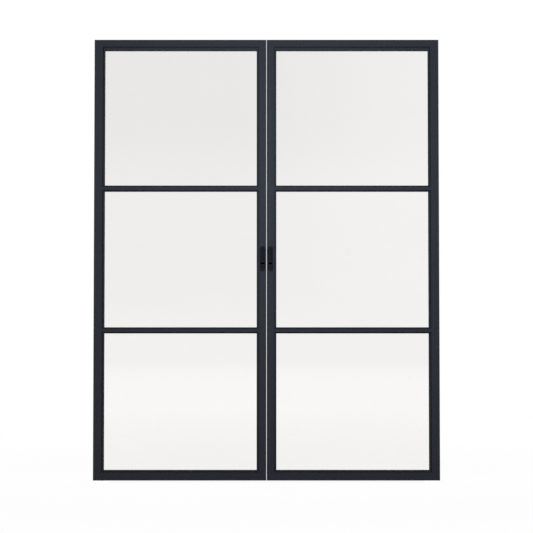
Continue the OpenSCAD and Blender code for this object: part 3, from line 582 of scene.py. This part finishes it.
castings = {"right_front": pull, "right_rear": rear_pull}
across = Vector((-2 * pull_middle.x, 0.0, 0.0))
for face in ("front", "rear"):
    twin = copy_of(castings["right_" + face], "left_" + face + "_pull_casting")
    shift(twin, across)
    castings["left_" + face] = twin
for place, piece in castings.items():
    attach(piece, place.split("_")[0] + "_leaf")
    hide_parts(place + "_pull")
print("pulls", sorted(castings))

# %% [markdown]
# The thumb slide is a small casting that fills the lower part of the window, with three finger grooves
# across it and a stem behind. It starts as a box. The grooves are cut with a round bar, the edges are
# rounded so that the top one catches the light, and the back is extruded at a smaller size for the stem.

# %% Thumb slides
STEM = 7 * MM
STEM_LENGTH = 7.8 * MM
SLIDE_THICK = 5 * MM
GROOVE_STEP = 4.5 * MM
GROOVE_ROUND = 0.8 * MM
GROOVE_SIDES = 24
GROOVE_LENGTH = 40 * MM
EDGE_ROUND = 0.3 * MM

slide_low, slide_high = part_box("right_front_slide")
slide_middle = (slide_low + slide_high) / 2
slide_back = slide_low.y + SLIDE_THICK
slide = block("right_front_thumb_slide", slide_low, Vector((slide_high.x, slide_back, slide_high.z)))
for step in (-1, 0, 1):
    bpy.ops.object.select_all(action="DESELECT")
    bpy.ops.mesh.primitive_cylinder_add(
        vertices=GROOVE_SIDES, radius=GROOVE_ROUND, depth=GROOVE_LENGTH, rotation=(0.0, math.pi / 2, 0.0),
        location=(slide_middle.x, slide_low.y, slide_middle.z + step * GROOVE_STEP))
    groove_tool = bpy.context.object
    bpy.ops.object.transform_apply(location=True, rotation=True, scale=True)
    cut(slide, groove_tool)
pick_sharp_edges(slide, lambda co: co.y < slide_back - HAIR)
bpy.ops.mesh.bevel(offset=EDGE_ROUND, segments=3, affect="EDGES")
done()
pick_faces(slide, lambda centre, normal: normal.y > FACING)
bpy.ops.mesh.extrude_region_move(TRANSFORM_OT_translate={"value": (0.0, 0.0, 0.0)})
bpy.ops.transform.resize(
    value=(STEM / (slide_high.x - slide_low.x), 1.0, STEM / (slide_high.z - slide_low.z)),
    center_override=(slide_middle.x, slide_back, slide_middle.z))
bpy.ops.mesh.extrude_region_move(TRANSFORM_OT_translate={"value": (0.0, STEM_LENGTH, 0.0)})
done()
smooth(slide)
slide.data.materials.clear()
slide.data.materials.append(black_coat)

slides = {"right_front": slide, "right_rear": copy_of(slide, "right_rear_thumb_slide")}
turn_to_rear(slides["right_rear"], slide_middle)
for face in ("front", "rear"):
    twin = copy_of(slides["right_" + face], "left_" + face + "_thumb_slide")
    shift(twin, Vector((-2 * slide_middle.x, 0.0, 0.0)))
    slides["left_" + face] = twin
for place, piece in slides.items():
    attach(piece, place.split("_")[0] + "_snib")
    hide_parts(place + "_slide")
print("thumb slides", sorted(slides), "of", len(slide.data.polygons), "faces")

# %% [markdown]
# The hooks and the rails' end caps come from the solid model with sharp edges. Real hooks are stamped and
# tumbled and real caps are moulded, so their edges are slightly round and catch a thin line of light.
# They could be modelled anew, but their form is right already, so a copy of the mesh is merged, its
# triangles are joined into whole faces, and the edges that show are bevelled. The lower part of a hook's
# hub keeps its edges, because the snib's pin runs in the fork there. Weighted normals keep the flat faces
# flat beside the round edges.

# %% Softer edges
HOOK_ROUND = 0.5 * MM
HUB_HEIGHT = 10.5 * MM
CAP_ROUND = 0.4 * MM
MERGE_REACH = 0.002 * MM
FLAT_ANGLE = math.radians(1)


def softened(node, body, radius, wanted):
    """Replaces a solid by a copy with whole faces, whose sharp edges in a wanted place are rounded."""
    piece = bpy.data.objects.new(node + "_softened", nodes[node].data.copy())
    scene.collection.objects.link(piece)
    pick_points(piece, lambda co: True)
    bpy.ops.mesh.remove_doubles(threshold=MERGE_REACH)
    bpy.ops.mesh.dissolve_limited(angle_limit=FLAT_ANGLE)
    done()
    pick_sharp_edges(piece, wanted)
    bpy.ops.mesh.bevel(offset=radius, segments=3, affect="EDGES")
    done()
    smooth(piece)
    flats = piece.modifiers.new("flats", "WEIGHTED_NORMAL")
    flats.keep_sharp = True
    bpy.ops.object.modifier_apply(modifier=flats.name)
    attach(piece, body)
    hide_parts(node)
    print(piece.name, "has", len(piece.data.polygons), "faces")


for side in ("left", "right"):
    free_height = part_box(side + "_hook")[0].z + HUB_HEIGHT
    softened(side + "_hook", side + "_hook", HOOK_ROUND, lambda co: co.z > free_height)
    caps_low, caps_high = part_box(side + "_end_caps")
    softened(side + "_end_caps", side + "_leaf", CAP_ROUND,
             lambda co: min(co.x - caps_low.x, caps_high.x - co.x) < HAIR)

# %% [markdown]
# The studio is a white sweep with an open room in front. Straight on, and through the glass, it is plain
# white. What falls on the door is a softer even light. What the glass and the metal mirror is the room: a
# wall of middling brightness, a dim ceiling over it that is lighter on the right, and a bright area
# overhead. The panes then come out a little deeper at the top, as they do in the photograph. The kind of
# ray tells the three apart, and a ray's own direction gives its place in the room.

# %% Background
FILL_LEVEL = 0.8
WALL_LEVEL = 0.80
WALL_LIGHT = 1.2
WALL_FOOT = 1.12
CEILING_DIM = 0.22
CEILING_LIGHT = 0.95
OVERHEAD_LEVEL = 0.9
WHITE = (1.0, 1.0, 1.0, 1.0)
# Where a level changes into the next, as a share of a ray's direction to the right or upwards
WALL_TURN = (-0.03, 0.1)
CEILING_TURN = (-0.03, 0.11)
FOOT_EDGE = (0.0, 0.03)
CEILING_EDGE = (0.075, 0.125)
OVERHEAD_EDGE = (0.25, 0.6)


def ray_kinds(tree):
    """Two values of 0 or 1: seen straight or through glass, and mirrored on the way."""
    path = add(tree, "ShaderNodeLightPath")
    seen = add(tree, "ShaderNodeMath", {0: path.outputs["Is Camera Ray"],
                                        1: path.outputs["Is Transmission Ray"]}, operation="MAXIMUM")
    mirrored = add(tree, "ShaderNodeMath", {0: path.outputs["Glossy Depth"], 1: 1.0},
                   operation="MINIMUM")
    return seen.outputs[0], mirrored.outputs[0]


def ramp(tree, value, value_low, value_high, low, high):
    """A soft change from one level to another while a value rises."""
    node = add(tree, "ShaderNodeMapRange", {"Value": value, "From Min": value_low, "From Max": value_high,
                                            "To Min": low, "To Max": high}, interpolation_type="SMOOTHSTEP")
    return node.outputs["Result"]


def by_ray(tree, kind, other, this):
    """One level for the rays of a kind, and another for the rest."""
    return ramp(tree, kind, 0.0, 1.0, other, this)


studio = bpy.data.worlds.new("white_studio")
scene.world = studio
studio.use_nodes = True
tree = studio.node_tree
tree.nodes.clear()
seen, mirrored = ray_kinds(tree)
heading = add(tree, "ShaderNodeSeparateXYZ", {0: add(tree, "ShaderNodeTexCoord").outputs["Generated"]})
wall = ramp(tree, heading.outputs["X"], *WALL_TURN, WALL_LEVEL, WALL_LIGHT)
ceiling = ramp(tree, heading.outputs["X"], *CEILING_TURN, CEILING_DIM, CEILING_LIGHT)
wall = ramp(tree, heading.outputs["Z"], *FOOT_EDGE, WALL_FOOT, wall)
room = ramp(tree, heading.outputs["Z"], *CEILING_EDGE, wall, ceiling)
room = ramp(tree, heading.outputs["Z"], *OVERHEAD_EDGE, room, OVERHEAD_LEVEL)
level = by_ray(tree, seen, FILL_LEVEL, 1.0)
level = by_ray(tree, mirrored, level, room)
white = add(tree, "ShaderNodeBackground", {"Color": WHITE, "Strength": level})
add(tree, "ShaderNodeOutputWorld", {"Surface": white.outputs["Background"]})
print("background ready")

# %% [markdown]
# The floor is painted white. It glows as plain white where it is seen far off, so that it runs into the
# background without a line. Close to the door a part of it is real paint, which takes the door's faint
# shadow. In the glass it is brighter than white, as a floor under a window is. For the light that it passes
# on to the door, the floor is drawn nearly black close to the door and lighter from half a metre off:
# painted shade, which makes the bottom rails the darkest part of the frames.

# %% Floor
FLOOR_SIZE = 120.0
SHADOW_SHARE = 0.08
SHADOW_EDGE = (1.2, 4.0)
SHINE_LEVELS = (1.35, 1.8, 1.12)
SHINE_RISE = (2.5, 9.0)
SHINE_FALL = (14.0, 45.0)
PAINT_SEEN = 1.0
BOUNCE_EDGE = (0.15, 0.5)
BOUNCE_PAINTED_SHADE = 0.03
BOUNCE_LEVEL = 0.45

bpy.ops.object.select_all(action="DESELECT")
bpy.ops.mesh.primitive_plane_add(size=FLOOR_SIZE, location=(0.0, 0.0, 0.0))
floor = bpy.context.object
floor.name = "studio_floor"
white_floor, tree, out = new_finish("white_painted_floor")
seen, mirrored = ray_kinds(tree)
spot = add(tree, "ShaderNodeTexCoord").outputs["Object"]
reach = add(tree, "ShaderNodeVectorMath", {0: spot}, operation="LENGTH").outputs["Value"]
shine = ramp(tree, reach, *SHINE_RISE, SHINE_LEVELS[0], SHINE_LEVELS[1])
shine = ramp(tree, reach, *SHINE_FALL, shine, SHINE_LEVELS[2])
glow = add(tree, "ShaderNodeEmission", {"Color": WHITE, "Strength": by_ray(tree, mirrored, 1.0, shine)})
depth = add(tree, "ShaderNodeMath", {0: add(tree, "ShaderNodeSeparateXYZ", {0: spot}).outputs["Y"]},
            operation="ABSOLUTE").outputs[0]
# Close to the door the floor passes on almost no light: painted shade that darkens the bottom rails.
bounce_with_painted_shade = ramp(tree, depth, *BOUNCE_EDGE, BOUNCE_PAINTED_SHADE, BOUNCE_LEVEL)
paint = add(tree, "ShaderNodeBsdfDiffuse", {"Color": by_ray(tree, seen, bounce_with_painted_shade, PAINT_SEEN)})
share = ramp(tree, reach, *SHADOW_EDGE, 1.0 - SHADOW_SHARE, 1.0)
share = by_ray(tree, seen, 0.0, share)
share = by_ray(tree, mirrored, share, 1.0)
surface = add(tree, "ShaderNodeMixShader", {0: share, 1: paint.outputs["BSDF"], 2: glow.outputs["Emission"]})
tree.links.new(surface.outputs["Shader"], out.inputs["Surface"])
floor.data.materials.append(white_floor)
print("floor ready")

# %% [markdown]
# One soft lamp hangs in front of the meeting stiles, above the pulls. It is near enough for its light to
# fall off towards the sides and the floor, so the meeting stiles come out lightest and the bottom rails
# darkest. A second one hangs behind the door in the same way, so that the rear pulls and beads show too.
# The lamps themselves aren't seen, neither directly nor in the glass.

# %% Lamps
LAMP_PLACES = {"front_lamp": Vector((0.08, -1.2, 1.6)), "rear_lamp": Vector((-0.08, 1.2, 1.6))}
LAMP_AIM = Vector((0.05, 0.0, 1.6))
LAMP_WIDTH = 0.6
LAMP_HEIGHT = 0.5
LAMP_WATTS = 10.0

for name, place in LAMP_PLACES.items():
    lamp_data = bpy.data.lights.new(name, "AREA")
    lamp_data.shape = "RECTANGLE"
    lamp_data.size = LAMP_WIDTH
    lamp_data.size_y = LAMP_HEIGHT
    lamp_data.energy = LAMP_WATTS
    lamp = bpy.data.objects.new(name, lamp_data)
    scene.collection.objects.link(lamp)
    lamp.location = place
    lamp.rotation_euler = (LAMP_AIM - place).to_track_quat("-Z", "Y").to_euler()
    lamp.visible_camera = False
    lamp.visible_glossy = False
    lamp.visible_transmission = False
    print(name, "of", LAMP_WATTS, "W at", tuple(place))
